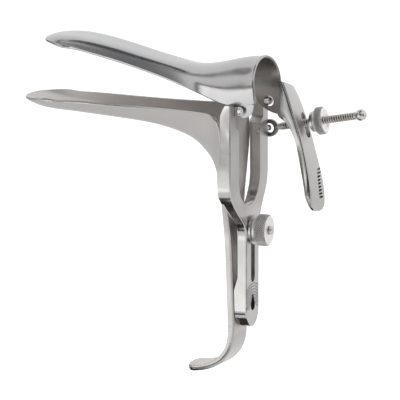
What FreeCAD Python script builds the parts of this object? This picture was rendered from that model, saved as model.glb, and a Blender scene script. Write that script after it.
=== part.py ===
import FreeCAD, Part
import math
import os
from FreeCAD import Vector

# Bivalve speculum, drawn with its blades part open, in millimetres.
# The origin is the middle of the blades' hinge axis. +Z is up, the blades point to -X,
# and the thumb lever and its screw are on the +Y side.

# Sheet metal of the two blades and the lever
blade_sheet = 1.6
lever_sheet = 2.2
blade_edge_round = 0.9
bar_edge_round = 0.2
near_parallel = 0.35
opposed = 0.8

# Lower blade: the trough
lower_tip_x = -120.4
lower_rim_z = -1.0
lower_rim_fall = 1.6
blade_half_width = 17.0
blade_waist = 15.2
lower_tip_round = 13.0
lower_depth_tip = 4.8
lower_depth_mid = 7.2

# Lower blade: the apron that turns down into the handle
apron_half_width = 21.2
apron_rear_x = -10.9
apron_turn_z = -9.0
apron_nose_x = -23.0

# Handle bar and foot
handle_half_width = 9.4
handle_end_half_width = 9.0
handle_thickness = 3.5
handle_top_x = -12.2
handle_top_z = -66.0
handle_tilt = 2.0
handle_bend_z = -114.2
foot_bend_radius = 16.2
foot_length = 4.2
foot_rise = 5.0
grip_land_depth = 0.08
grip_top_z = -72.0
grip_bottom_z = -106.0

# Upper blade
upper_tip_x = -109.6
upper_tip_z = 30.3
upper_root_x = -9.2
upper_root_z = 2.4
upper_bow = 3.3
upper_tip_round = 13.0
upper_half_width = 16.6
upper_waist = 15.3
upper_depth = 5.6
throat_half_width = 19.3
throat_top_z = 25.2
throat_rear_x = 7.2
throat_rear_top_x = 4.8
throat_rim_z = 4.0

# Hinge of the upper blade
hinge_pin_radius = 1.5
hinge_pin_clearance = 0.05
ear_hole_radius = 2.65
ear_lobe_radius = 6.0
ear_lobe_x = 0.8
ear_lobe_z = 2.4
ear_front_x = -7.0
ear_front_z = 2.9
ear_top_z = 7.0
ear_inset = 0.03
lever_ear_bottom_x = 5.8
lever_ear_bottom_z = -6.3
side_gap = 0.3
rivet_clearance = 0.02

# Yoke: the forked frame that carries the hinge
arm_outer_y = 27.0
arm_inner_y = 15.2
arm_front_x = -8.7
arm_rear_x = -2.5
arm_top_z = 3.2
arm_turn_z = -7.0
arm_corner_run = 4.0
arm_rear_round = 0.8
arm_front_round = 1.4
fork_front_round = 2.2
arm_shoulder_z = -8.0
fork_bottom_z = -50.4
lug_radius = 2.3
lug_outer_y = 21.6
cheek_inner_y = 22.3
cheek_front_x = -9.6
stem_half_width = 8.8
stem_front_x = -6.4
stem_rear_x = -0.6
stem_end_z = -112.0
stem_web = 2.8
stem_flange = 3.0
slot_half_width = 2.65
slot_top_z = -60.0
slot_bottom_z = -89.3
pad_top_z = -93.0
pad_gap = 0.3
teardrop_top_z = -95.2
teardrop_bottom_z = -103.7
teardrop_radius = 2.9
serration_count = 7
serration_pitch = 1.45
serration_width = 0.5
serration_depth = 0.35

# Height stud, washer and nut
stud_radius = 2.3
stud_end_x = 9.8
stud_head_radius = 3.6
stud_head_height = 0.9
washer_radius = 7.5
washer_thickness = 1.0
face_gap = 0.05
height_collar_radius = 6.2
height_collar_length = 1.8
height_nut_radius = 8.0
height_nut_length = 5.9
nut_chamfer = 0.8
thread_clearance = 0.06

# Eye bolt and its rivet
eye_x = -2.4
eye_z = -15.3
eye_outer_radius = 4.45
eye_hole_radius = 2.4
eye_thickness = 3.2
eye_side_gap = 0.4
eye_rivet_radius = 0.9
eye_rivet_head_radius = 1.5
eye_rivet_head_height = 0.8
rod_radius = 2.05
rod_tilt = 10.5
rod_length = 49.4
ball_radius = 3.05
ball_stub_radius = 1.4

# Opening nut and its seat
seat_distance = 21.6
seat_length = 1.2
seat_radius = 5.25
seat_dome_radius = 9.0
opening_collar_length = 1.2
opening_nut_radius = 7.1
opening_nut_length = 4.4
recess_radius = 4.6
recess_depth = 0.8

# Thumb lever
lever_inset = 0.1
lever_root_lap = 1.2
lever_far_y = 36.0
lever_tip_x = 22.2
lever_tip_z = -56.0
lever_bulge = 1.7
lever_slot_half_width = 2.85
lever_slot_top_z = -6.4
lever_slot_bottom_z = -19.2
lever_serration_count = 9
lever_serration_pitch = 1.75
lever_serration_width = 0.55
lever_serration_depth = 0.5
lever_serration_top_z = -35.5
lever_serration_y = 29.6
lever_serration_length = 6.4

eye_y = arm_outer_y + eye_side_gap + eye_thickness / 2
ear_outer_y = throat_half_width
ear_inner_y = throat_half_width - blade_sheet
tab_inner_y = ear_outer_y + side_gap
far_side = 60.0


# Sheets: a sheet is a net of poles with a thickness, closed all round by rounded edges

def unit(vector):
    return Vector(vector).normalize()


def knot_multiplicities(count, degree=3):
    return [degree + 1] + [1] * (count - degree - 1) + [degree + 1]


def patch(poles, row_degree=3):
    rows = knot_multiplicities(len(poles), row_degree)
    columns = knot_multiplicities(len(poles[0]))
    surface = Part.BSplineSurface()
    surface.buildFromPolesMultsKnots(
        poles, rows, columns,
        [float(i) for i in range(len(rows))],
        [float(i) for i in range(len(columns))],
        False, False, row_degree, 3)
    return surface.toShape()


def net_normal(net, i, j):
    """Normal of the net of poles at row i and column j."""
    last_row = len(net) - 1
    last_column = len(net[0]) - 1
    along = net[min(i + 1, last_row)][j] - net[max(i - 1, 0)][j]
    across = net[i][min(j + 1, last_column)] - net[i][max(j - 1, 0)]
    normal = along.cross(across)
    if normal.Length < near_parallel * along.Length * across.Length:
        normal = along.cross(net[i][last_column] - net[i][0])
    return unit(normal)


def rim_pole(outer, inner, outward, roundness):
    middle = (outer + inner) * 0.5
    return middle + unit(outward) * (outer - inner).Length * roundness


def sheet(net, thickness, roundness):
    """Solid sheet. thickness and roundness hold one value for each row of the net."""
    rows = len(net)
    columns = len(net[0])
    inner = [[net[i][j] + net_normal(net, i, j) * thickness[i] for j in range(columns)]
             for i in range(rows)]

    def outward(i, j):
        direction = Vector(0, 0, 0)
        if i == 0:
            direction += unit(net[0][j] - net[1][j])
        if i == rows - 1:
            direction += unit(net[i][j] - net[i - 1][j])
        if j == 0:
            direction += unit(net[i][0] - net[i][1])
        if j == columns - 1:
            direction += unit(net[i][j] - net[i][j - 1])
        if direction.Length < opposed:
            direction = net[i][j] - net[i][columns - 1 - j]
        return direction

    def edge_patch(places):
        first = [net[i][j] for i, j in places]
        last = [inner[i][j] for i, j in places]
        middle = [rim_pole(net[i][j], inner[i][j], outward(i, j), roundness[i])
                  for i, j in places]
        return patch([first, middle, last], 2)

    faces = [patch(net), patch(inner)]
    faces.append(edge_patch([(0, j) for j in range(columns)]))
    faces.append(edge_patch([(rows - 1, j) for j in range(columns)]))
    faces.append(edge_patch([(i, 0) for i in range(rows)]))
    faces.append(edge_patch([(i, columns - 1) for i in range(rows)]))
    shell = Part.makeShell(faces)
    shell.sewShape()
    solid = Part.Solid(shell)
    solid.fix(1e-4, 1e-4, 1e-3)
    if solid.Volume < 0:
        solid.reverse()
    return solid


def trough_row(rim, spine, half_width, corner, side=(0.4, 0.86)):
    """Ten poles across a trough, from -Y to +Y. rim and spine are (x, z) places."""
    return mirrored_row(rim, spine, [
        (half_width, 0.0),
        (half_width + (corner - half_width) * 0.45, side[0]),
        (corner, side[1]),
        (corner * 0.7, 1.0),
        (corner * 0.25, 1.0),
    ])


def arch_row(rim, spine, half_width):
    """Ten poles over an arch: straight sides and a half ellipse on top."""
    return mirrored_row(rim, spine, [
        (half_width, 0.0),
        (half_width, 0.122),
        (half_width, 0.242),
        (half_width, 0.607),
        (half_width * 0.453, 1.016),
    ])


def nose_row(rim, spine, half_width):
    """Ten poles round the half ellipse at a blade's tip or the foot's tip."""
    return mirrored_row(rim, spine, [
        (half_width, 0.0),
        (half_width, 0.22),
        (half_width * 0.93, 0.58),
        (half_width * 0.66, 0.92),
        (half_width * 0.24, 1.04),
    ])


def mirrored_row(rim, spine, half):
    poles = []
    for y, share in half + half[::-1]:
        x = rim[0] + (spine[0] - rim[0]) * share
        z = rim[1] + (spine[1] - rim[1]) * share
        poles.append(Vector(x, y, z))
    for pole in poles[:5]:
        pole.y = -pole.y
    return poles


# Lower blade

def handle_front_x(z):
    return handle_top_x + (handle_top_z - z) * math.tan(math.radians(handle_tilt))


def handle_rear_x(z):
    return handle_front_x(z) + handle_thickness


def lower_trough_rows():
    tip = lower_tip_x
    rim = lower_rim_z
    base_z = rim - lower_rim_fall
    deep = lower_depth_tip
    mid = lower_depth_mid
    wide = blade_half_width
    waist = blade_waist
    apron = apron_half_width
    nose = apron_nose_x
    turn = apron_turn_z
    rear = apron_rear_x
    start = tip + lower_tip_round
    rows = [
        nose_row((start, rim), (tip, rim + 0.2), wide),
        nose_row((start + 2.5, rim), (tip + 3.4, rim - 2.4), wide),
        trough_row((start + 7.0, rim), (tip + 13.0, rim - deep + 0.2), wide, wide * 0.84),
        trough_row((start + 15.0, rim), (start + 14.0, rim - deep - 0.4), wide, wide * 0.8),
        trough_row((-75.0, rim - 0.4), (-75.0, rim - mid), waist + 0.6, waist * 0.8),
        trough_row((-52.0, rim - 0.9), (-53.0, rim - mid - 1.6), waist, waist * 0.8),
        trough_row((-34.0, base_z + 0.3), (-38.5, rim - mid - 5.0), waist + 1.8, waist * 0.8),
        trough_row((-22.0, base_z), (-28.6, -17.0), apron - 1.6, waist * 0.85, (0.35, 0.84)),
        trough_row((-14.0, base_z - 0.4), (nose, -22.4), apron, waist * 0.9, (0.33, 0.84)),
        trough_row((rear, turn), (nose + 3.9, -27.0), apron + 0.2, waist * 0.86, (0.33, 0.84)),
        trough_row((rear, turn - 10.0), (nose + 6.0, -33.0), apron - 0.8, waist * 0.8, (0.35, 0.84)),
        trough_row((rear - 0.6, turn - 25.0), (nose + 8.4, -42.0), apron - 3.6, waist * 0.74),
        trough_row((handle_top_x - 0.5, turn - 40.0), (handle_top_x - 0.9, -53.0), 13.0, 9.8),
    ]
    return rows


def flat_row(x, z, half_width):
    return trough_row((x, z), (x, z), half_width, half_width * 0.8)


def foot_rows():
    start = Vector(handle_front_x(handle_bend_z), 0, handle_bend_z)
    tilt = math.radians(handle_tilt)
    centre = start + Vector(-math.cos(tilt), 0, -math.sin(tilt)) * foot_bend_radius
    half = handle_end_half_width
    rows = []
    for angle in (24.0, 47.0, 70.0, 90.0 + foot_rise):
        turn = math.radians(angle)
        x = centre.x + math.cos(turn) * foot_bend_radius * 1.035
        z = centre.z - math.sin(turn) * foot_bend_radius * 1.035
        rows.append(flat_row(x, z, half))
    rise = math.radians(foot_rise)
    bend_end = Vector(x, 0, z)
    ahead = Vector(-math.cos(rise), 0, math.sin(rise))
    side = bend_end + ahead * 1.0
    tip = bend_end + ahead * foot_length
    rows.append(nose_row((side.x, side.z), (tip.x, tip.z), half))
    return rows


def lower_blade():
    trough = lower_trough_rows()
    handle = [
        flat_row(handle_front_x(handle_top_z), handle_top_z, handle_half_width),
        flat_row(handle_front_x(-74.0), -74.0, handle_half_width),
        flat_row(handle_front_x(-94.0), -94.0, handle_end_half_width + 0.3),
        flat_row(handle_front_x(handle_bend_z + 6.0), handle_bend_z + 6.0, handle_end_half_width),
        flat_row(handle_front_x(handle_bend_z), handle_bend_z, handle_end_half_width),
    ]
    foot = foot_rows()
    net = trough + handle + foot
    bar_rows = len(handle) + len(foot)
    taper = [0.0, 0.45]
    thickness = [blade_sheet] * (len(trough) - 2)
    thickness += [blade_sheet + (handle_thickness - blade_sheet) * share for share in taper]
    thickness += [handle_thickness] * bar_rows
    roundness = [blade_edge_round] * (len(trough) - 2)
    roundness += [blade_edge_round + (bar_edge_round - blade_edge_round) * share for share in taper]
    roundness += [bar_edge_round] * (bar_rows - 1) + [bar_edge_round * 2]
    return sheet(net, thickness, roundness).cut(grip_land())


def grip_land():
    """Thin wedge of metal ground off the handle's front, which leaves a true flat."""
    reach = 4.0
    points = []
    for z in (grip_top_z, grip_bottom_z):
        points.append(Vector(handle_front_x(z) + grip_land_depth, -2 * handle_half_width, z))
    points += [points[1] - Vector(reach, 0, reach), points[0] - Vector(reach, 0, -reach)]
    face = Part.Face(Part.makePolygon(points + points[:1]))
    return face.extrude(Vector(0, 4 * handle_half_width, 0))


# Upper blade, drawn part open as it stands

def upper_rim_z(x):
    """Height of the upper blade's rim: a line from tip to root that bows upwards."""
    share = (x - upper_tip_x) / (upper_root_x - upper_tip_x)
    line = upper_tip_z + (upper_root_z - upper_tip_z) * share
    return line + 4 * upper_bow * share * (1 - share)


def upper_blade():
    tip = upper_tip_x
    wide = upper_half_width
    waist = upper_waist
    throat = throat_half_width
    deep = upper_depth
    top = throat_top_z
    rear = throat_rear_x
    low = throat_rim_z
    start = tip + upper_tip_round

    def trough(rim_x, spine_shift, depth, half_width, corner):
        spine_x = rim_x + spine_shift
        spine_z = upper_rim_z(spine_x) + depth
        return trough_row((rim_x, upper_rim_z(rim_x)), (spine_x, spine_z), half_width, corner)

    net = [
        nose_row((start, upper_rim_z(start)), (tip, upper_tip_z), wide),
        nose_row((start + 2.5, upper_rim_z(start + 2.5)), (tip + 3.0, upper_rim_z(tip + 3.0) + 2.2),
                 wide),
        trough(start + 7.0, -7.0, deep - 1.2, wide, wide * 0.84),
        trough(start + 16.0, -3.0, deep - 0.2, wide, wide * 0.8),
        trough(-66.0, -2.5, deep + 0.1, waist + 0.6, waist * 0.8),
        trough(-48.0, -2.0, deep + 0.2, waist, waist * 0.8),
        trough(-34.0, -2.0, deep + 2.0, waist + 0.5, waist * 0.84),
        arch_row((-23.0, upper_rim_z(-23.0) - 0.2), (-25.0, 19.8), waist + 2.0),
        arch_row((-15.0, upper_rim_z(-15.0)), (-15.5, 21.9), throat - 0.9),
        arch_row((-8.0, 2.4), (-7.0, 24.0), throat),
        arch_row((-1.0, low - 1.0), (-1.0, top - 0.1), throat),
        arch_row((rear - 2.0, low - 0.4), (throat_rear_top_x - 1.9, top + 0.1), throat),
        arch_row((rear, low), (throat_rear_top_x, top + 0.5), throat + 0.3),
    ]
    net = [row[::-1] for row in net]
    roundness = [blade_edge_round] * len(net)
    blade = sheet(net, [blade_sheet] * len(net), roundness)
    ears = [ear(side) for side in (-1, 1)]
    blade = blade.fuse(ears)
    blade = blade.cut(ear_holes())
    return blade


def lobe_place(angle):
    turn = math.radians(angle)
    return Vector(ear_lobe_x + ear_lobe_radius * math.cos(turn), 0,
                  ear_lobe_z + ear_lobe_radius * math.sin(turn))


def ear(side):
    """Flat ear at the foot of the throat arch: a round lobe, drawn lower where the lever joins."""
    rear_x = throat_rear_x - 0.2
    front = lobe_place(-144.0)
    top_front = Vector(ear_front_x, 0, ear_top_z)
    top_rear = Vector(rear_x, 0, ear_top_z)
    places = [top_front, Vector(ear_front_x, 0, ear_front_z), front]
    if side < 0:
        end = lobe_place(10.0)
        bottom = Part.Arc(front, lobe_place(-90.0), end)
    else:
        end = Vector(lever_ear_bottom_x, 0, lever_ear_bottom_z)
        bottom = Part.Arc(front, Vector(ear_lobe_x - 1.4, 0, ear_lobe_z - ear_lobe_radius - 0.4), end)
    last = [end, top_rear, top_front]
    if side > 0:
        last.insert(1, Vector(rear_x, 0, lever_ear_bottom_z - 0.4))
    wire = Part.Wire(line_edges(places) + [bottom.toShape()] + line_edges(last))
    plate = Part.Face(wire).extrude(Vector(0, blade_sheet - 2 * ear_inset, 0))
    y = (ear_inner_y if side > 0 else -ear_outer_y) + ear_inset
    plate.translate(Vector(0, y, 0))
    return plate


def ear_holes():
    """Close hole for the near pin, and a large one that bears on the far pin's front."""
    close = hinge_pin_radius + hinge_pin_clearance
    length = ear_outer_y + 2
    near = Part.makeCylinder(close, length, Vector(0, -length, 0), Vector(0, 1, 0))
    far = Part.makeCylinder(ear_hole_radius, length, Vector(ear_hole_radius - close, 0, 0), Vector(0, 1, 0))
    return [near, far]


# Thumb lever

def lever_row(leg, corner, far, bend=1.6):
    """Eight poles across the lever: along its near leg, round the bend and over its face."""
    run = far - corner
    side = Vector(bend * 0.8, bend, 0)
    bulge = Vector(lever_bulge, 0, 0)
    return [
        leg,
        (leg + corner) * 0.5,
        corner,
        corner + side,
        corner + run * 0.42 + bulge,
        corner + run * 0.74 + bulge,
        corner + run * 0.93 + bulge * 0.6,
        far,
    ]


def thumb_lever():
    root = throat_rear_x - lever_root_lap
    near = ear_inner_y + lever_inset
    far = lever_far_y
    x = lever_tip_x
    z = lever_tip_z
    rows = [
        ((root, 0.0, 9.6), (8.0, 0.1, 9.8), (7.6, far - 0.8, 5.6)),
        ((root, 0.0, 6.4), (9.3, 0.1, 6.6), (9.0, far - 0.3, 2.8)),
        ((root, 0.0, 2.0), (11.0, 0.1, 1.6), (10.8, far, -0.6)),
        ((root, 0.0, -2.4), (13.0, 0.4, -5.6), (13.2, far, -6.6)),
        ((root, 0.2, -6.4), (15.0, 1.0, -12.4), (15.4, far, -12.8)),
        ((12.6, 0.8, -8.4), (16.9, 1.8, -19.4), (17.6, far - 0.2, -19.6)),
        ((17.0, 2.2, -19.4), (18.8, 3.0, -28.6), (19.8, far + 0.2, -28.6)),
        ((19.0, 3.4, -34.5), (20.3, 4.0, -38.0), (21.8, far + 1.4, -37.5)),
        ((20.6, 3.8, -42.6), (21.4, 4.3, -45.0), (23.0, far + 2.4, -44.5)),
    ]
    net = [lever_row(*[Vector(px, near + py if py < far / 2 else py, pz) for px, py, pz in row])
           for row in rows]
    end_start = -47.5
    end = []
    for pole, share in zip(net[-1], (0.0, 0.22, 0.62, 0.9, 1.0, 1.02, 0.62, 0.0)):
        end.append(Vector(pole.x + (x - 21.4) * 0.5, pole.y, end_start + (z - end_start) * share))
    net.append(end)
    net = [row[::-1] for row in net]
    count = len(net)
    lever = sheet(net, [lever_sheet] * count, [0.6] * count)
    lever = lever.cut([lever_slot()] + lever_serrations())
    lever = lever.cut(upper_blade())
    return max(lever.Solids, key=lambda solid: solid.Volume)


def lever_serrations():
    """Short grooves across the far half of the lever's thumb face."""
    grooves = []
    for number in range(lever_serration_count):
        z = lever_serration_top_z - number * lever_serration_pitch
        fall = (z - lever_serration_top_z) / (lever_tip_z - lever_serration_top_z)
        start = Vector(23.2 + 2.4 * fall - lever_serration_depth, lever_serration_y, z)
        groove = Part.makeCylinder(lever_serration_width, lever_serration_length + fall, start,
                                   Vector(-0.14, 1, 0))
        grooves.append(groove)
    return grooves


def lever_slot():
    depth = 16.0
    x = 8.0
    top = lever_slot_top_z - lever_slot_half_width
    bottom = lever_slot_bottom_z + lever_slot_half_width
    ends = [Part.makeCylinder(lever_slot_half_width, depth, Vector(x, eye_y, z), Vector(1, 0, 0))
            for z in (top, bottom)]
    middle = Part.makeBox(depth, 2 * lever_slot_half_width, top - bottom,
                          Vector(x, eye_y - lever_slot_half_width, bottom))
    return middle.fuse(ends)


# Yoke

def spline_edge(poles):
    curve = Part.BSplineCurve()
    mults = knot_multiplicities(len(poles))
    curve.buildFromPolesMultsKnots(poles, mults, [float(i) for i in range(len(mults))], False, 3)
    return curve.toShape()


def line_edges(points):
    return [Part.LineSegment(a, b).toShape() for a, b in zip(points, points[1:])]


def mirrored(edges):
    return edges + [edge.mirror(Vector(0, 0, 0), Vector(0, 1, 0)) for edge in edges]


def closed_face(edges):
    return Part.Face(Part.Wire(Part.__sortEdges__(edges)))


def yoke_front_outline():
    """Outline seen from the front: fork arms, stem and rounded thumb pad."""
    half = stem_half_width
    end_centre = stem_end_z + half
    corner = math.sqrt(0.5) * half
    outer_bend = -33.0
    neck = slot_top_z - 7.0
    edges = [
        Part.Arc(Vector(0, 0, stem_end_z), Vector(0, corner, end_centre - corner),
                 Vector(0, half, end_centre)).toShape(),
        Part.LineSegment(Vector(0, half, end_centre), Vector(0, half, neck)).toShape(),
        spline_edge([
            Vector(0, half, neck), Vector(0, half, neck + 6.0), Vector(0, 13.2, -57.0),
            Vector(0, 19.2, -51.2), Vector(0, 24.8, -45.5), Vector(0, arm_outer_y, -39.5),
            Vector(0, arm_outer_y, outer_bend)]),
    ]
    fork_radius = arm_inner_y
    fork_centre = fork_bottom_z + fork_radius
    low = math.sqrt(0.5) * fork_radius
    edges += line_edges([
        Vector(0, arm_outer_y, outer_bend), Vector(0, arm_outer_y, arm_top_z),
        Vector(0, tab_inner_y, arm_top_z), Vector(0, tab_inner_y, arm_shoulder_z),
        Vector(0, arm_inner_y, arm_shoulder_z - 3.2), Vector(0, arm_inner_y, fork_centre)])
    edges.append(Part.Arc(Vector(0, arm_inner_y, fork_centre), Vector(0, low, fork_centre - low),
                          Vector(0, 0, fork_bottom_z)).toShape())
    return mirrored(edges)


def yoke_side_outline():
    """Outline seen from the side: arms, joggle into the stem, and thumb pad against the handle."""
    pad_bottom = stem_end_z + 2.5
    pad_front_top = handle_rear_x(pad_top_z) + pad_gap
    pad_front_bottom = handle_rear_x(pad_bottom) + pad_gap
    high = arm_top_z + 2.0
    low = stem_end_z - 2.0
    front = [
        Part.LineSegment(Vector(arm_front_x, 0, high), Vector(arm_front_x, 0, -44.0)).toShape(),
        spline_edge([
            Vector(arm_front_x, 0, -44.0), Vector(arm_front_x, 0, -52.0),
            Vector(stem_front_x, 0, -54.0), Vector(stem_front_x, 0, -62.0)]),
        Part.LineSegment(Vector(stem_front_x, 0, -62.0),
                         Vector(stem_front_x, 0, pad_top_z + 3.5)).toShape(),
    ]
    front += line_edges([
        Vector(stem_front_x, 0, pad_top_z + 3.5), Vector(pad_front_top, 0, pad_top_z),
        Vector(pad_front_bottom, 0, pad_bottom), Vector(pad_front_bottom + 2.0, 0, low)])
    rear = [
        Part.LineSegment(Vector(stem_rear_x, 0, low), Vector(stem_rear_x, 0, -64.0)).toShape(),
        spline_edge([
            Vector(stem_rear_x, 0, -64.0), Vector(stem_rear_x, 0, -57.0),
            Vector(arm_rear_x, 0, -54.0), Vector(arm_rear_x, 0, -46.0)]),
        Part.LineSegment(Vector(arm_rear_x, 0, -46.0), Vector(arm_rear_x, 0, high)).toShape(),
    ]
    ends = line_edges([Vector(pad_front_bottom + 2.0, 0, low), Vector(stem_rear_x, 0, low)])
    ends += line_edges([Vector(arm_rear_x, 0, high), Vector(arm_front_x, 0, high)])
    return front + rear + ends


def middle_of(edge):
    return edge.valueAt((edge.FirstParameter + edge.LastParameter) / 2)


def outline_edges(solid, rear):
    """Long edges round the outside of the fork and stem, on the rear or the front face."""
    chosen = []
    for edge in solid.Edges:
        box = edge.BoundBox
        middle = middle_of(edge)
        upright = box.ZLength > 1.5 and box.XLength < 2.6
        outside = abs(middle.y) > tab_inner_y + 0.5 or middle.z < fork_bottom_z - 2.0
        off_centre = box.YLength > 0.0 or abs(middle.y) > 1.0
        back = middle.x > (arm_rear_x if middle.z > fork_bottom_z else arm_rear_x - 0.6) - 0.1
        low_front = not rear and middle.z < pad_top_z + 3.4
        if upright and outside and off_centre and back == rear and not low_front:
            chosen.append(edge)
    return chosen


def fork_front_edges(solid):
    """Front edges of the U between the arms."""
    chosen = []
    for edge in solid.Edges:
        middle = middle_of(edge)
        inside = abs(middle.y) < arm_inner_y + 0.1 and arm_shoulder_z - 3.4 > middle.z > fork_bottom_z - 0.1
        if inside and middle.x < arm_front_x + 0.1:
            chosen.append(edge)
    return chosen


def yoke_cheeks():
    """Raised pads on the front of the arms' outer halves."""
    top = -25.0
    bottom = -47.0
    run = 4.0
    edges = line_edges([
        Vector(arm_front_x, 0, top), Vector(cheek_front_x, 0, top - run),
        Vector(cheek_front_x, 0, bottom + run), Vector(arm_front_x, 0, bottom),
        Vector(arm_front_x + 2.5, 0, bottom), Vector(arm_front_x + 2.5, 0, top),
        Vector(arm_front_x, 0, top)])
    bar = closed_face(edges).extrude(Vector(0, 2 * far_side, 0))
    bar.translate(Vector(0, -far_side, 0))
    front = closed_face(yoke_front_outline())
    front.translate(Vector(-far_side / 2, 0, 0))
    bar = bar.common(front.extrude(Vector(far_side, 0, 0)))
    between = Part.makeBox(far_side, 2 * cheek_inner_y, far_side,
                           Vector(-far_side / 2, -cheek_inner_y, bottom - 1.0))
    return bar.cut(between)


def arm_corners():
    """What is rounded off the front of the arms' tops."""
    clear_x = arm_front_x - 1.0
    clear_z = arm_top_z + 1.0
    start = Vector(arm_front_x, 0, arm_turn_z)
    end = Vector(arm_front_x + arm_corner_run, 0, clear_z)
    edges = [spline_edge([
        start, Vector(arm_front_x, 0, arm_turn_z + 3.5),
        Vector(arm_front_x + 1.4, 0, arm_top_z - 2.0), end])]
    edges += line_edges([end, Vector(clear_x, 0, clear_z), Vector(clear_x, 0, arm_turn_z), start])
    corner = closed_face(edges).extrude(Vector(0, 2 * far_side, 0))
    corner.translate(Vector(0, -far_side, 0))
    return corner


def hinge_lug(side):
    """Round lug behind the top of an arm, on the hinge axis."""
    length = lug_outer_y - tab_inner_y
    y = tab_inner_y if side > 0 else -lug_outer_y
    lug = Part.makeCylinder(lug_radius, length, Vector(0, y, 0), Vector(0, 1, 0))
    web = Part.makeBox(-arm_rear_x + 1.0, length, 2 * lug_radius,
                       Vector(arm_rear_x - 1.0, y, -lug_radius))
    return lug.fuse(web)


def slotted_prism(half_width, top, bottom, y=0.0):
    """Upright slot with round ends, cut right through along X."""
    depth = far_side
    low = bottom + half_width
    high = top - half_width
    ends = [Part.makeCylinder(half_width, depth, Vector(-depth / 2, y, z), Vector(1, 0, 0))
            for z in (low, high)]
    middle = Part.makeBox(depth, 2 * half_width, high - low,
                          Vector(-depth / 2, y - half_width, low))
    return middle.fuse(ends)


def teardrop_prism():
    radius = teardrop_radius
    centre = teardrop_bottom_z + radius
    small = 0.8
    top = teardrop_top_z - small
    lean = math.asin((radius - small) / (top - centre))
    side_y = math.cos(lean)
    side_z = math.sin(lean)
    low = Vector(0, radius * side_y, centre + radius * side_z)
    high = Vector(0, small * side_y, top + small * side_z)
    edges = [
        Part.Arc(Vector(0, 0, teardrop_bottom_z), Vector(0, radius, centre), low).toShape(),
        Part.LineSegment(low, high).toShape(),
        Part.Arc(high, Vector(0, small * math.sin((math.pi / 2 + lean) / 2),
                              top + small * math.cos((math.pi / 2 - lean) / 2)),
                 Vector(0, 0, teardrop_top_z)).toShape(),
    ]
    face = closed_face(mirrored(edges))
    face.translate(Vector(-far_side / 2, 0, 0))
    return face.extrude(Vector(far_side, 0, 0))


def stem_channel():
    """Hollow in the front of the stem, between its two flanges."""
    half = stem_half_width - stem_flange
    front = stem_front_x - 1.0
    depth = stem_rear_x - stem_web - front
    return Part.makeBox(depth, 2 * half, slot_top_z - pad_top_z - 1.0,
                        Vector(front, -half, pad_top_z + 3.0))


def pad_serrations():
    """Arched grooves across the rear of the thumb pad."""
    grooves = []
    centre_z = pad_top_z - 11.7
    for number in range(serration_count):
        radius = pad_top_z + 3.2 - number * serration_pitch - centre_z
        start = Vector(stem_rear_x - serration_depth, 0, centre_z)
        outer = Part.makeCylinder(radius, 2.0, start, Vector(1, 0, 0))
        inner = Part.makeCylinder(radius - serration_width, 2.0, start, Vector(1, 0, 0))
        grooves.append(outer.cut(inner))
    upper = Part.makeBox(far_side, far_side, far_side, Vector(-far_side / 2, -far_side / 2, centre_z + 2.0))
    return [groove.common(upper) for groove in grooves]


def yoke():
    front = closed_face(yoke_front_outline())
    front.translate(Vector(-far_side / 2, 0, 0))
    prism = front.extrude(Vector(far_side, 0, 0))
    side = closed_face(yoke_side_outline())
    side.translate(Vector(0, -far_side, 0))
    frame = prism.common(side.extrude(Vector(0, 2 * far_side, 0)))
    frame = frame.makeFillet(arm_rear_round, outline_edges(frame, True))
    frame = frame.makeFillet(arm_front_round, outline_edges(frame, False))
    frame = frame.makeFillet(fork_front_round, fork_front_edges(frame))
    frame = frame.fuse([yoke_cheeks()] + [hinge_lug(side) for side in (-1, 1)])
    frame = frame.cut([slotted_prism(slot_half_width, slot_top_z, slot_bottom_z),
                       teardrop_prism(), stem_channel(), arm_corners()] + pad_serrations())
    return frame


# Turned parts

def turned(profile, origin, direction):
    """Solid of revolution. profile is a closed list of (distance along, radius) corners."""
    points = [Vector(along, 0, radius) for along, radius in profile]
    face = Part.Face(Part.makePolygon(points + points[:1]))
    solid = face.revolve(Vector(0, 0, 0), Vector(1, 0, 0), 360)
    solid.Placement = FreeCAD.Placement(origin, FreeCAD.Rotation(Vector(1, 0, 0), direction))
    return solid


def hinge_pin(side):
    """Rivet through the arm's tab, with its plain end in the ear."""
    inner_end = ear_inner_y - 0.8
    outer_end = lug_outer_y
    return turned([
        (0.0, 0.0), (0.0, hinge_pin_radius - 0.3), (0.3, hinge_pin_radius),
        (outer_end - inner_end, hinge_pin_radius), (outer_end - inner_end + 0.5, 0.9),
        (outer_end - inner_end + 0.5, 0.0)],
        Vector(0, side * inner_end, 0), Vector(0, side, 0))


def hinge_pin_bore(side):
    radius = hinge_pin_radius + rivet_clearance
    return Part.makeCylinder(radius, far_side, Vector(0, side * ear_inner_y, 0), Vector(0, side, 0))


def rod_direction():
    angle = math.radians(rod_tilt)
    return Vector(math.cos(angle), 0, math.sin(angle))


def eye_centre():
    return Vector(eye_x, eye_y, eye_z)


def eye_rivet_centre():
    """Axis of the rivet, against the front of the eye's hole."""
    offset = eye_hole_radius - eye_rivet_radius - hinge_pin_clearance
    return eye_centre() - rod_direction() * offset


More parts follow.
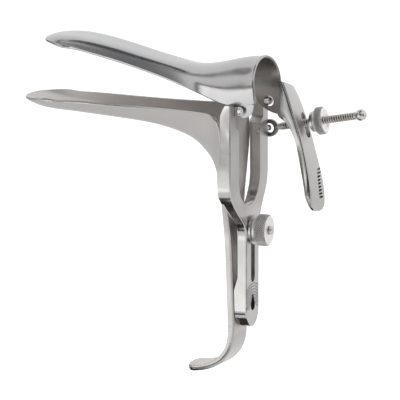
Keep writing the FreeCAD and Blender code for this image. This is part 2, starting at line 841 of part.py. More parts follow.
def eye_bolt():
    centre = eye_centre()
    half = eye_thickness / 2
    ring = Part.makeCylinder(eye_outer_radius, eye_thickness, centre - Vector(0, half, 0),
                             Vector(0, 1, 0))
    ring = ring.makeFillet(0.7, [e for e in ring.Edges if type(e.Curve).__name__ == "Circle"])
    ball_start = rod_length - ball_radius * 0.8
    neck = eye_outer_radius + 2.6
    rod = turned([
        (eye_hole_radius + 0.9, 0.0), (eye_hole_radius + 0.9, eye_thickness / 2 - 0.2),
        (eye_outer_radius, eye_thickness / 2), (neck, rod_radius), (ball_start, rod_radius),
        (ball_start, ball_stub_radius), (rod_length + ball_radius * 0.5, ball_stub_radius),
        (rod_length + ball_radius * 0.5, 0.0)],
        centre, rod_direction())
    hole = Part.makeCylinder(eye_hole_radius, eye_thickness * 2,
                             centre - Vector(0, eye_thickness, 0), Vector(0, 1, 0))
    return ring.fuse(rod).cut(hole)


def eye_rivet():
    """Shouldered rivet that holds the eye on the outside of the far arm."""
    centre = eye_rivet_centre()
    head_start = eye_y + eye_thickness / 2 + 0.15 - arm_inner_y
    shoulder = arm_outer_y - arm_inner_y
    return turned([
        (0.4, 0.0), (0.4, eye_rivet_radius), (shoulder + 0.02, eye_rivet_radius),
        (head_start, eye_rivet_radius), (head_start, eye_rivet_head_radius),
        (head_start + eye_rivet_head_height * 0.5, eye_rivet_head_radius),
        (head_start + eye_rivet_head_height, eye_rivet_head_radius - 0.7),
        (head_start + eye_rivet_head_height, 0.0)],
        Vector(centre.x, arm_inner_y, centre.z), Vector(0, 1, 0))


def eye_rivet_bore():
    centre = eye_rivet_centre()
    return Part.makeCylinder(eye_rivet_radius + rivet_clearance, far_side,
                             Vector(centre.x, arm_inner_y - 4.0, centre.z), Vector(0, 1, 0))


def ball_end():
    centre = eye_centre() + rod_direction() * rod_length
    ball = Part.makeSphere(ball_radius, centre)
    back = centre - rod_direction() * ball_radius * 1.5
    flat = Part.makeCylinder(ball_radius * 2, ball_radius * 0.7 + 0.02, back, rod_direction())
    bore = Part.makeCylinder(ball_stub_radius + rivet_clearance,
                             ball_radius * 2.0 + rivet_clearance, back, rod_direction())
    return ball.cut([flat, bore])


def seat_height():
    """Length of the seat ring with its dome."""
    sagitta = seat_dome_radius - math.sqrt(seat_dome_radius ** 2 - seat_radius ** 2)
    return seat_length + sagitta


def opening_seat():
    """Seat ring with a domed nose that bears on the lever."""
    bore = rod_radius + thread_clearance
    end = seat_height()
    body = turned([
        (0.0, bore), (0.0, seat_radius), (end, seat_radius), (end, bore)],
        eye_centre() + rod_direction() * seat_distance, rod_direction())
    dome_centre = eye_centre() + rod_direction() * (seat_distance + seat_dome_radius)
    return body.common(Part.makeSphere(seat_dome_radius, dome_centre))


def opening_nut():
    bore = rod_radius + thread_clearance
    collar = opening_collar_length
    end = collar + opening_nut_length
    radius = opening_nut_radius
    return turned([
        (0.0, bore), (0.0, seat_radius), (collar, seat_radius), (collar, radius - nut_chamfer),
        (collar + nut_chamfer, radius), (end - nut_chamfer, radius), (end, radius - nut_chamfer),
        (end, recess_radius), (end - recess_depth, recess_radius - 0.5), (end - recess_depth, bore)],
        eye_centre() + rod_direction() * (seat_distance + seat_height() + face_gap), rod_direction())


def stud_z():
    return slot_top_z - slot_half_width


def height_stud():
    z = stud_z()
    front = handle_front_x(z) - stud_head_height
    length = stud_end_x - front
    return turned([
        (0.0, 0.0), (0.0, stud_head_radius - 0.6), (0.5, stud_head_radius),
        (stud_head_height + 0.3, stud_head_radius), (stud_head_height + 0.3, stud_radius),
        (length - 0.5, stud_radius), (length, stud_radius - 0.5), (length, 0.0)],
        Vector(front, 0, z), Vector(1, 0, 0))


def height_washer():
    bore = stud_radius + 0.1
    return turned([
        (0.0, bore), (0.0, washer_radius), (washer_thickness, washer_radius),
        (washer_thickness, bore)],
        Vector(stem_rear_x + face_gap, 0, stud_z()), Vector(1, 0, 0))


def height_nut():
    bore = stud_radius + thread_clearance
    radius = height_nut_radius
    collar = height_collar_length
    end = collar + height_nut_length
    return turned([
        (0.0, bore), (0.0, height_collar_radius), (collar, height_collar_radius),
        (collar, radius - nut_chamfer), (collar + nut_chamfer, radius), (end - nut_chamfer, radius),
        (end, radius - nut_chamfer), (end, bore)],
        Vector(stem_rear_x + 2 * face_gap + washer_thickness, 0, stud_z()), Vector(1, 0, 0))


# Assembly: holes that take another piece are cut here, from that piece's own sizes

def stud_bore():
    z = stud_z()
    front = handle_front_x(z) - stud_head_height
    shank = Part.makeCylinder(stud_radius + rivet_clearance, far_side, Vector(front, 0, z),
                              Vector(1, 0, 0))
    head = Part.makeCylinder(stud_head_radius + rivet_clearance, stud_head_height + 0.3 + rivet_clearance,
                             Vector(front, 0, z), Vector(1, 0, 0))
    return shank.fuse(head)


parts = {
    "lower_blade": lower_blade().cut(stud_bore()),
    "yoke": yoke().cut([hinge_pin_bore(-1), hinge_pin_bore(1), eye_rivet_bore()]),
    "upper_blade": upper_blade(),
    "thumb_lever": thumb_lever(),
    "near_hinge_pin": hinge_pin(-1),
    "far_hinge_pin": hinge_pin(1),
    "eye_bolt": eye_bolt(),
    "eye_rivet": eye_rivet(),
    "ball_end": ball_end(),
    "opening_seat": opening_seat(),
    "opening_nut": opening_nut(),
    "height_stud": height_stud(),
    "height_washer": height_washer(),
    "height_nut": height_nut(),
}

os.makedirs("parts", exist_ok=True)
for name, shape in parts.items():
    solids = shape.Solids
    shape = solids[0] if len(solids) == 1 else Part.makeCompound(solids)
    shape.exportStep("parts/" + name + ".step")
    print(name, len(solids), shape.isValid(), round(shape.Volume, 1))
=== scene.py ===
import math

import bmesh
import bpy
from mathutils import Matrix, Vector


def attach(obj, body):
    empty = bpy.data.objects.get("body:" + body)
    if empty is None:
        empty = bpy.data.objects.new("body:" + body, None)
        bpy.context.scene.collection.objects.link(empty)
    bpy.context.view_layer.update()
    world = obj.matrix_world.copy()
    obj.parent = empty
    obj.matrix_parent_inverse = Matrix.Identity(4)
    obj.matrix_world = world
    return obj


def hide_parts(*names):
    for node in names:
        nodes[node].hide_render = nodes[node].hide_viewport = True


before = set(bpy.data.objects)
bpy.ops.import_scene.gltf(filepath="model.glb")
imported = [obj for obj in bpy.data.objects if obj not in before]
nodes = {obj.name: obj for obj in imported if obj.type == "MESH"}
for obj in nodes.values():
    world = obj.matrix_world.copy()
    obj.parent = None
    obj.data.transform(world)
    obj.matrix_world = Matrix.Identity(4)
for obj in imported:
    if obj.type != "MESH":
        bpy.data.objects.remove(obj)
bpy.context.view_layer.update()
scene = bpy.context.scene
print("frame loaded:", len(nodes), "nodes")


# camera

cameraSet = {
    "azimuth": 21.0,       # degrees round from the near side
    "elevation": 9.0,
    "distance": 4.0,
    "pixelsPerMm": 2.0,    # at the hinge axis
    "originPixel": (254.2, 105.7),
    "frameSize": 400,
    "sensor": 36.0,
}


def makeCamera(spec):
    turn = math.radians(spec["azimuth"])
    tilt = math.radians(spec["elevation"])
    back = Vector((math.sin(turn) * math.cos(tilt), -math.cos(turn) * math.cos(tilt), math.sin(tilt)))
    right = Vector((math.cos(turn), math.sin(turn), 0.0))
    up = back.cross(right)
    half = spec["frameSize"] / 2
    mmPerPixel = 1.0 / spec["pixelsPerMm"]
    aside = (half - spec["originPixel"][0]) * mmPerPixel / 1000
    lower = (spec["originPixel"][1] - half) * mmPerPixel / 1000
    place = back * spec["distance"] + right * aside + up * lower
    data = bpy.data.cameras.new("photoCamera")
    data.sensor_width = spec["sensor"]
    data.lens = spec["pixelsPerMm"] * 1000 * spec["distance"] * spec["sensor"] / spec["frameSize"]
    data.clip_start = 0.01
    data.clip_end = 20.0
    camera = bpy.data.objects.new("photoCamera", data)
    camera.matrix_world = Matrix.Translation(place) @ Matrix((right, up, back)).transposed().to_4x4()
    scene.collection.objects.link(camera)
    scene.camera = camera


makeCamera(cameraSet)
print("camera set")


# light, floor and backdrop

def addNode(tree, kind, **values):
    made = tree.nodes.new(kind)
    for name, value in values.items():
        setattr(made, name, value)
    return made


def seenRays(tree):  # 1 for the rays of the camera, of gloss and of glass
    path = addNode(tree, "ShaderNodeLightPath")
    first = addNode(tree, "ShaderNodeMath", operation="MAXIMUM")
    both = addNode(tree, "ShaderNodeMath", operation="MAXIMUM")
    tree.links.new(path.outputs["Is Camera Ray"], first.inputs[0])
    tree.links.new(path.outputs["Is Glossy Ray"], first.inputs[1])
    tree.links.new(first.outputs[0], both.inputs[0])
    tree.links.new(path.outputs["Is Transmission Ray"], both.inputs[1])
    return both.outputs[0]


studio = {
    "worldLight": 0.55,      # what the white surround gives to matt surfaces
    "floorHeight": -0.26,
    "floorSize": 9.0,
    "floorColour": (0.9, 0.9, 0.9, 1.0),
    "floorGlow": 0.65,       # brings the floor to white for the camera
    "floorInGloss": 0.12,    # the same, as the steel sees it
    "boxHeight": 1.1,
    "boxSize": 1.0,
    "boxPower": 9.0,
}


def makeWorld(spec):
    made = bpy.data.worlds.new("studioWorld")
    made.use_nodes = True
    tree = made.node_tree
    tree.nodes.clear()
    out = addNode(tree, "ShaderNodeOutputWorld")
    lit = addNode(tree, "ShaderNodeBackground")
    lit.inputs["Color"].default_value = (1.0, 1.0, 1.0, 1.0)
    lit.inputs["Strength"].default_value = spec["worldLight"]
    seen = addNode(tree, "ShaderNodeBackground")
    seen.inputs["Color"].default_value = (1.0, 1.0, 1.0, 1.0)
    seen.inputs["Strength"].default_value = 1.0
    mix = addNode(tree, "ShaderNodeMixShader")
    tree.links.new(seenRays(tree), mix.inputs[0])
    tree.links.new(lit.outputs[0], mix.inputs[1])
    tree.links.new(seen.outputs[0], mix.inputs[2])
    tree.links.new(mix.outputs[0], out.inputs["Surface"])
    scene.world = made


def plateMesh(name, corners):
    mesh = bpy.data.meshes.new(name)
    mesh.from_pydata([tuple(corner) for corner in corners], [], [(0, 1, 2, 3)])
    made = bpy.data.objects.new(name, mesh)
    scene.collection.objects.link(made)
    return made


def makeFloor(spec):
    half = spec["floorSize"] / 2
    z = spec["floorHeight"]
    floor = plateMesh("floor", [(-half, -half, z), (half, -half, z), (half, half, z), (-half, half, z)])
    paint = bpy.data.materials.new("paleFloor")
    paint.use_nodes = True
    tree = paint.node_tree
    tree.nodes.clear()
    out = addNode(tree, "ShaderNodeOutputMaterial")
    matt = addNode(tree, "ShaderNodeBsdfDiffuse")
    matt.inputs["Color"].default_value = spec["floorColour"]
    glow = addNode(tree, "ShaderNodeEmission")
    path = addNode(tree, "ShaderNodeLightPath")
    direct = addNode(tree, "ShaderNodeMath", operation="MULTIPLY")
    direct.inputs[1].default_value = spec["floorGlow"]
    tree.links.new(path.outputs["Is Camera Ray"], direct.inputs[0])
    strength = addNode(tree, "ShaderNodeMath", operation="MULTIPLY_ADD")
    strength.inputs[1].default_value = spec["floorInGloss"]
    tree.links.new(path.outputs["Is Glossy Ray"], strength.inputs[0])
    tree.links.new(direct.outputs[0], strength.inputs[2])
    tree.links.new(strength.outputs[0], glow.inputs["Strength"])
    both = addNode(tree, "ShaderNodeAddShader")
    tree.links.new(matt.outputs[0], both.inputs[0])
    tree.links.new(glow.outputs[0], both.inputs[1])
    tree.links.new(both.outputs[0], out.inputs["Surface"])
    floor.data.materials.append(paint)


def makeCard(name, spec):  # curved card that only the steel's gloss sees, as hung beside bright metal
    turns, rises = 24, 4
    points = []
    for i in range(rises + 1):
        rise = math.radians(spec["rise"][0] + (spec["rise"][1] - spec["rise"][0]) * i / rises)
        for j in range(turns + 1):
            turn = math.radians(spec["turn"][0] + (spec["turn"][1] - spec["turn"][0]) * j / turns)
            reach = spec["reach"] * math.cos(rise)
            points.append((-math.sin(turn) * reach, -math.cos(turn) * reach, math.sin(rise) * spec["reach"]))
    row = turns + 1
    faces = [(i * row + j, i * row + j + 1, (i + 1) * row + j + 1, (i + 1) * row + j)
             for i in range(rises) for j in range(turns)]
    mesh = bpy.data.meshes.new(name)
    mesh.from_pydata(points, [], faces)
    card = bpy.data.objects.new(name, mesh)
    scene.collection.objects.link(card)
    paint = bpy.data.materials.new(name + "Paint")
    paint.use_nodes = True
    tree = paint.node_tree
    tree.nodes.clear()
    out = addNode(tree, "ShaderNodeOutputMaterial")
    glow = addNode(tree, "ShaderNodeEmission")
    glow.inputs["Color"].default_value = (*spec["tone"], 1.0)
    tree.links.new(glow.outputs[0], out.inputs["Surface"])
    mesh.materials.append(paint)
    card.visible_camera = False
    card.visible_diffuse = False
    card.visible_shadow = False


cards = {
    "lineCard": {"turn": (-45, 110), "rise": (-2, 8), "reach": 1.0, "tone": (0.03, 0.03, 0.03)},
    "bladeLow": {"turn": (-12, 24), "rise": (8, 34), "reach": 1.0, "tone": (0.32, 0.32, 0.325)},
    "bladeHigh": {"turn": (-12, 24), "rise": (34, 75), "reach": 1.0, "tone": (0.20, 0.205, 0.21)},
    "crownCard": {"turn": (0, 360), "rise": (70, 90), "reach": 1.02, "tone": (0.07, 0.073, 0.077)},
    "throatCard": {"turn": (24, 110), "rise": (8, 54), "reach": 1.0, "tone": (1.0, 0.98, 0.965)},
    "topStrip": {"turn": (-45, 110), "rise": (57, 64), "reach": 1.01, "tone": (0.03, 0.03, 0.03)},
    "cameraStrip": {"turn": (-40, -12), "rise": (-8, 40), "reach": 0.98, "tone": (0.03, 0.035, 0.045)},
    "edgeCard": {"turn": (-84, -58), "rise": (-14, 30), "reach": 1.0, "tone": (0.03, 0.035, 0.045)},
    "frontTable": {"turn": (-10, 100), "rise": (-62, -3), "reach": 1.5, "tone": (0.62, 0.62, 0.60)},
    "rearCard": {"turn": (130, 260), "rise": (-60, -22), "reach": 1.5, "tone": (0.40, 0.40, 0.40)},
    "underCard": {"turn": (0, 360), "rise": (-89, -66), "reach": 0.24, "tone": (0.05, 0.045, 0.04)},
    "earCard": {"turn": (0, 60), "rise": (-7.5, -0.5), "reach": 0.26, "tone": (2.4, 2.4, 2.36)},
    "cheekCard": {"turn": (0, 60), "rise": (-28.5, -15.5), "reach": 0.26, "tone": (1.3, 1.3, 1.28)},
    "padCard": {"turn": (0, 60), "rise": (-36, -28.5), "reach": 0.26, "tone": (1.7, 1.7, 1.67)},
    "footCard": {"turn": (5, 90), "rise": (-61, -54), "reach": 0.178, "tone": (0.03, 0.03, 0.03)},
    "toeCard": {"turn": (34, 95), "rise": (-74, -61), "reach": 0.178, "tone": (0.03, 0.03, 0.03)},
}


def makeLamp(name, place, target, size, power):
    data = bpy.data.lights.new(name, "AREA")
    data.shape = "SQUARE"
    data.size = size
    data.energy = power
    lamp = bpy.data.objects.new(name, data)
    aim = (Vector(target) - Vector(place)).to_track_quat("-Z", "Y")
    lamp.matrix_world = Matrix.Translation(place) @ aim.to_matrix().to_4x4()
    lamp.visible_glossy = False
    scene.collection.objects.link(lamp)


makeWorld(studio)
makeFloor(studio)
makeLamp("topBox", (0.0, 0.0, studio["boxHeight"]), (0.0, 0.0, 0.0), studio["boxSize"], studio["boxPower"])
for name, spec in cards.items():
    makeCard(name, spec)
scene.view_settings.view_transform = "Standard"
print("light, floor and cards set")


# steel finishes

def newGroup(name, inputs, outputs):
    group = bpy.data.node_groups.new(name, "ShaderNodeTree")
    for label, kind, value in inputs:
        made = group.interface.new_socket(label, in_out="INPUT", socket_type=kind)
        made.default_value = value
    for label, kind in outputs:
        group.interface.new_socket(label, in_out="OUTPUT", socket_type=kind)
    start = addNode(group, "NodeGroupInput")
    end = addNode(group, "NodeGroupOutput")
    return group, start, end


def makeGrainGroup():  # lines of the polishing belt, long along the axis with the smallest scale
    group, start, end = newGroup("polishGrain", [
        ("Scale", "NodeSocketVector", (1.0, 1.0, 1.0)),
        ("Softness", "NodeSocketFloat", 0.5),
    ], [("Grain", "NodeSocketFloat")])
    place = addNode(group, "ShaderNodeTexCoord")
    stretch = addNode(group, "ShaderNodeVectorMath", operation="MULTIPLY")
    group.links.new(place.outputs["Object"], stretch.inputs[0])
    group.links.new(start.outputs["Scale"], stretch.inputs[1])
    fine = addNode(group, "ShaderNodeTexNoise")
    fine.inputs["Scale"].default_value = 1.0
    fine.inputs["Detail"].default_value = 3.0
    group.links.new(start.outputs["Softness"], fine.inputs["Roughness"])
    group.links.new(stretch.outputs[0], fine.inputs["Vector"])
    group.links.new(fine.outputs["Fac"], end.inputs["Grain"])
    return group


def makeMarksGroup():  # cloudy handling marks and hairline scratches, 0 to 1
    group, start, end = newGroup("handlingMarks", [
        ("Cloud Scale", "NodeSocketFloat", 40.0),
        ("Scratch Scale", "NodeSocketFloat", 90.0),
        ("Scratch Width", "NodeSocketFloat", 0.012),
        ("Bend", "NodeSocketFloat", 0.012),
    ], [("Cloud", "NodeSocketFloat"), ("Scratch", "NodeSocketFloat")])
    place = addNode(group, "ShaderNodeTexCoord")
    cloud = addNode(group, "ShaderNodeTexNoise")
    cloud.inputs["Detail"].default_value = 4.0
    cloud.inputs["Roughness"].default_value = 0.6
    group.links.new(place.outputs["Object"], cloud.inputs["Vector"])
    group.links.new(start.outputs["Cloud Scale"], cloud.inputs["Scale"])
    group.links.new(cloud.outputs["Fac"], end.inputs["Cloud"])
    bend = addNode(group, "ShaderNodeTexNoise")
    bend.inputs["Scale"].default_value = 60.0
    group.links.new(place.outputs["Object"], bend.inputs["Vector"])
    mixed = addNode(group, "ShaderNodeVectorMath", operation="MULTIPLY_ADD")
    group.links.new(start.outputs["Bend"], mixed.inputs[1])
    group.links.new(bend.outputs["Color"], mixed.inputs[0])
    group.links.new(place.outputs["Object"], mixed.inputs[2])
    lines = addNode(group, "ShaderNodeTexVoronoi", feature="DISTANCE_TO_EDGE")
    group.links.new(mixed.outputs[0], lines.inputs["Vector"])
    group.links.new(start.outputs["Scratch Scale"], lines.inputs["Scale"])
    narrow = addNode(group, "ShaderNodeMapRange", clamp=True)
    narrow.inputs["From Min"].default_value = 0.0
    group.links.new(start.outputs["Scratch Width"], narrow.inputs["From Max"])
    narrow.inputs["To Min"].default_value = 1.0
    narrow.inputs["To Max"].default_value = 0.0
    group.links.new(lines.outputs["Distance"], narrow.inputs["Value"])
    group.links.new(narrow.outputs[0], end.inputs["Scratch"])
    return group


def makeMaskGroup():  # 1 where the surface faces along Facing, or towards Centre as Pull weighs it; picks faces for the satin roughness and for painted light and shade
    group, start, end = newGroup("satinAndShadingMask", [
        ("Facing", "NodeSocketVector", (0.0, 0.0, 0.0)),
        ("Pull", "NodeSocketVector", (0.0, 0.0, 0.0)),
        ("Centre", "NodeSocketVector", (0.0, 0.0, 0.0)),
        ("Low", "NodeSocketFloat", 0.0),
        ("High", "NodeSocketFloat", 1.0),
    ], [("Mask", "NodeSocketFloat")])
    place = addNode(group, "ShaderNodeTexCoord")
    offset = addNode(group, "ShaderNodeVectorMath", operation="SUBTRACT")
    group.links.new(place.outputs["Object"], offset.inputs[0])
    group.links.new(start.outputs["Centre"], offset.inputs[1])
    weighed = addNode(group, "ShaderNodeVectorMath", operation="MULTIPLY_ADD")
    group.links.new(offset.outputs[0], weighed.inputs[0])
    group.links.new(start.outputs["Pull"], weighed.inputs[1])
    group.links.new(start.outputs["Facing"], weighed.inputs[2])
    facing = addNode(group, "ShaderNodeVectorMath", operation="DOT_PRODUCT")
    group.links.new(weighed.outputs[0], facing.inputs[0])
    group.links.new(place.outputs["Normal"], facing.inputs[1])
    soft = addNode(group, "ShaderNodeMapRange", clamp=True, interpolation_type="SMOOTHSTEP")
    group.links.new(start.outputs["Low"], soft.inputs["From Min"])
    group.links.new(start.outputs["High"], soft.inputs["From Max"])
    group.links.new(facing.outputs["Value"], soft.inputs["Value"])
    group.links.new(soft.outputs[0], end.inputs["Mask"])
    return group


grainGroup = makeGrainGroup()
maskGroup = makeMaskGroup()
marksGroup = makeMarksGroup()


def mapRange(tree, value, low, high):
    made = addNode(tree, "ShaderNodeMapRange", clamp=True)
    made.inputs["To Min"].default_value = low
    made.inputs["To Max"].default_value = high
    tree.links.new(value, made.inputs["Value"])
    return made.outputs[0]


def makeSteel(name, spec):
    steel = bpy.data.materials.new(name)
    steel.use_nodes = True
    tree = steel.node_tree
    tree.nodes.clear()
    out = addNode(tree, "ShaderNodeOutputMaterial")
    shader = addNode(tree, "ShaderNodeBsdfPrincipled")
    shader.inputs["Metallic"].default_value = 1.0
    grain = addNode(tree, "ShaderNodeGroup", node_tree=grainGroup)
    grain.inputs["Scale"].default_value = spec["grainScale"]
    marks = addNode(tree, "ShaderNodeGroup", node_tree=marksGroup)
    marks.inputs["Cloud Scale"].default_value = spec["cloudScale"]
    tone = addNode(tree, "ShaderNodeMix", data_type="RGBA")
    tone.inputs["A"].default_value = spec["colour"]
    tone.inputs["B"].default_value = spec["markColour"]
    tree.links.new(mapRange(tree, marks.outputs["Cloud"], 0.0, spec["markAmount"]), tone.inputs["Factor"])
    # painted shade: the base colour is darkened towards grooveShadeColour, by ambient occlusion in creases and by
    # cut depth in grooves
    paintedShade = addNode(tree, "ShaderNodeMix", data_type="RGBA")
    paintedShade.inputs["B"].default_value = spec.get("grooveShadeColour", spec["colour"])
    if "creaseShade" in spec:  # ambient occlusion paints shade into creases and serrations
        creaseShade = addNode(tree, "ShaderNodeAmbientOcclusion", samples=8)
        creaseShade.inputs["Distance"].default_value = spec["creaseShade"]
        tree.links.new(mapRange(tree, creaseShade.outputs["AO"], *spec["creaseShadeTone"]), paintedShade.inputs["Factor"])
    else:
        # painted shade: the cut depth of threads and knurls darkens their grooves
        grooveShadeMask = addNode(tree, "ShaderNodeAttribute", attribute_name="grooveShadeMask")
        tree.links.new(grooveShadeMask.outputs["Fac"], paintedShade.inputs["Factor"])
    tree.links.new(tone.outputs["Result"], paintedShade.inputs["A"])
    tree.links.new(paintedShade.outputs["Result"], shader.inputs["Base Color"])
    rough = addNode(tree, "ShaderNodeMath", operation="ADD")
    tree.links.new(mapRange(tree, marks.outputs["Cloud"], spec["roughness"][0], spec["roughness"][1]),
                   rough.inputs[0])
    tree.links.new(mapRange(tree, grain.outputs["Grain"], 0.0, spec["grainRoughness"]), rough.inputs[1])
    if "satinAndShading" in spec:
        inside = addNode(tree, "ShaderNodeGroup", node_tree=maskGroup)
        for label, value in spec["satinAndShading"].items():
            inside.inputs[label].default_value = value
        surface = addNode(tree, "ShaderNodeMix", data_type="FLOAT")
        surface.inputs["B"].default_value = spec["satinRoughness"]
        tree.links.new(inside.outputs["Mask"], surface.inputs["Factor"])
        tree.links.new(rough.outputs[0], surface.inputs["A"])
        tree.links.new(surface.outputs["Result"], shader.inputs["Roughness"])
        # painted light and shade: the picked faces also take satinPaintedShading, lighter on the lower blade,
        # frame and lever, darker on the upper blade
        facingShading = addNode(tree, "ShaderNodeMix", data_type="RGBA")
        facingShading.inputs["B"].default_value = spec["satinPaintedShading"]
        tree.links.new(inside.outputs["Mask"], facingShading.inputs["Factor"])
        tree.links.new(tone.outputs["Result"], facingShading.inputs["A"])
        tree.links.new(facingShading.outputs["Result"], paintedShade.inputs["A"])
    else:
        tree.links.new(rough.outputs[0], shader.inputs["Roughness"])
    relief = addNode(tree, "ShaderNodeMath", operation="MULTIPLY_ADD")
    relief.inputs[1].default_value = spec["scratchRelief"]
    tree.links.new(marks.outputs["Scratch"], relief.inputs[0])
    tree.links.new(grain.outputs["Grain"], relief.inputs[2])
    bump = addNode(tree, "ShaderNodeBump")
    bump.inputs["Strength"].default_value = spec["bumpStrength"]
    bump.inputs["Distance"].default_value = spec["bumpDepth"]
    tree.links.new(relief.outputs[0], bump.inputs["Height"])
    place = addNode(tree, "ShaderNodeTexCoord")
    swell = addNode(tree, "ShaderNodeTexNoise")
    swell.inputs["Scale"].default_value = spec["waveScale"]
    swell.inputs["Detail"].default_value = 1.0
    tree.links.new(place.outputs["Object"], swell.inputs["Vector"])
    wave = addNode(tree, "ShaderNodeBump")  # hand polishing leaves flat faces slightly wavy
    wave.inputs["Strength"].default_value = 1.0
    wave.inputs["Distance"].default_value = spec["waveDepth"]
    tree.links.new(swell.outputs["Fac"], wave.inputs["Height"])
    tree.links.new(wave.outputs["Normal"], bump.inputs["Normal"])
    tree.links.new(bump.outputs["Normal"], shader.inputs["Normal"])
    tree.links.new(shader.outputs[0], out.inputs["Surface"])
    return steel


# satinPaintedShading paints light and shade on faces picked by facing; grooveShadeColour paints shade in grooves
# and creases
finishes = {
    "lowerBladeSteel": {
        "colour": (0.49, 0.475, 0.465, 1.0), "markColour": (0.40, 0.385, 0.37, 1.0), "markAmount": 0.5,
        "cloudScale": 38.0, "roughness": (0.12, 0.22), "grainScale": (260.0, 2400.0, 2400.0),
        "grainRoughness": 0.10, "scratchRelief": 0.5, "bumpStrength": 0.04, "bumpDepth": 0.00003,
        "waveScale": 45.0, "waveDepth": 0.00040,
        "satinAndShading": {"Facing": (1.0, 0.0, 0.0), "Pull": (0.0, -300.0, -60.0), "Centre": (0.0, 0.0, 0.03)},
        "satinRoughness": 0.56, "satinPaintedShading": (0.70, 0.67, 0.645, 1.0),
    },
    "upperBladeSteel": {
        "colour": (0.49, 0.492, 0.50, 1.0), "markColour": (0.42, 0.415, 0.41, 1.0), "markAmount": 0.5,
        "cloudScale": 38.0, "roughness": (0.14, 0.24), "grainScale": (260.0, 2400.0, 2400.0),
        "grainRoughness": 0.10, "scratchRelief": 0.5, "bumpStrength": 0.04, "bumpDepth": 0.00003,
        "waveScale": 40.0, "waveDepth": 0.00030,
        "satinAndShading": {"Pull": (0.0, -300.0, -60.0), "Centre": (0.0, 0.0, -0.03)},
        "satinRoughness": 0.36, "satinPaintedShading": (0.31, 0.29, 0.275, 1.0),
    },
    "frameSteel": {
        "colour": (0.53, 0.525, 0.515, 1.0), "markColour": (0.42, 0.41, 0.395, 1.0), "markAmount": 0.4,
        "cloudScale": 45.0, "roughness": (0.08, 0.18), "grainScale": (2400.0, 2400.0, 260.0),
        "grainRoughness": 0.08, "scratchRelief": 0.5, "bumpStrength": 0.03, "bumpDepth": 0.00002,
        "waveScale": 70.0, "waveDepth": 0.00060,
        "satinAndShading": {"Facing": (1.0, 0.0, 0.0), "Pull": (0.0, -120.0, 0.0), "Low": 0.5, "High": 0.95},
        "satinRoughness": 0.30, "satinPaintedShading": (0.60, 0.585, 0.57, 1.0),
        "creaseShade": 0.0007, "creaseShadeTone": (1.6, -0.2), "grooveShadeColour": (0.10, 0.095, 0.09, 1.0),
    },
    "leverSteel": {
        "colour": (0.53, 0.525, 0.515, 1.0), "markColour": (0.42, 0.41, 0.395, 1.0), "markAmount": 0.4,
        "cloudScale": 45.0, "roughness": (0.08, 0.18), "grainScale": (2400.0, 2400.0, 260.0),
        "grainRoughness": 0.08, "scratchRelief": 0.5, "bumpStrength": 0.03, "bumpDepth": 0.00002,
        "waveScale": 70.0, "waveDepth": 0.00060,
        "satinAndShading": {"Facing": (1.0, 0.0, 0.0), "Low": 0.8, "High": 0.97},
        "satinRoughness": 0.40, "satinPaintedShading": (0.60, 0.585, 0.57, 1.0),
        "creaseShade": 0.0007, "creaseShadeTone": (1.6, -0.2), "grooveShadeColour": (0.10, 0.095, 0.09, 1.0),
    },
    "turnedSteel": {
        "colour": (0.66, 0.65, 0.63, 1.0), "markColour": (0.5, 0.48, 0.46, 1.0), "markAmount": 0.4,
        "cloudScale": 120.0, "roughness": (0.12, 0.26), "grainScale": (3000.0, 900.0, 900.0),
        "grainRoughness": 0.10, "scratchRelief": 0.3, "bumpStrength": 0.08, "bumpDepth": 0.00004,
        "waveScale": 200.0, "waveDepth": 0.00002,
    },
    "eyeSteel": {
        "colour": (0.26, 0.235, 0.215, 1.0), "markColour": (0.14, 0.12, 0.11, 1.0), "markAmount": 0.6,
        "cloudScale": 160.0, "roughness": (0.20, 0.34), "grainScale": (2000.0, 2000.0, 2000.0),
        "grainRoughness": 0.10, "scratchRelief": 0.3, "bumpStrength": 0.08, "bumpDepth": 0.00004,
        "waveScale": 200.0, "waveDepth": 0.00005,
    },
    "knurlSteel": {
        "colour": (0.97, 0.955, 0.935, 1.0), "markColour": (0.84, 0.82, 0.80, 1.0), "markAmount": 0.5,
        "cloudScale": 300.0, "roughness": (0.30, 0.42), "grainScale": (2600.0, 2600.0, 2600.0),
        "grainRoughness": 0.08, "scratchRelief": 0.1, "bumpStrength": 0.15, "bumpDepth": 0.00005,
        "waveScale": 200.0, "waveDepth": 0.00001,
        "grooveShadeColour": (0.02, 0.018, 0.016, 1.0),
    },
    "threadSteel": {
        "colour": (0.74, 0.715, 0.69, 1.0), "markColour": (0.46, 0.43, 0.40, 1.0), "markAmount": 0.6,
        "cloudScale": 200.0, "roughness": (0.18, 0.34), "grainScale": (2000.0, 2000.0, 2000.0),
        "grainRoughness": 0.10, "scratchRelief": 0.2, "bumpStrength": 0.08, "bumpDepth": 0.00004,
        "waveScale": 200.0, "waveDepth": 0.00001,
        "grooveShadeColour": (0.06, 0.05, 0.045, 1.0),
    },
}
steels = {name: makeSteel(name, spec) for name, spec in finishes.items()}

nodeFinish = {
    "lower_blade": "lowerBladeSteel", "upper_blade": "upperBladeSteel",
    "thumb_lever": "leverSteel", "yoke": "frameSteel",
    "near_hinge_pin": "turnedSteel", "far_hinge_pin": "turnedSteel", "eye_rivet": "turnedSteel",
    "ball_end": "turnedSteel", "opening_seat": "turnedSteel", "height_washer": "turnedSteel",
}
for name, finish in nodeFinish.items():
    mesh = nodes[name].data
    mesh.materials.clear()
    mesh.materials.append(steels[finish])
print("finishes set:", len(steels))


# knurled and threaded pieces: a ring of faces round X, then relief cut by Geometry Nodes

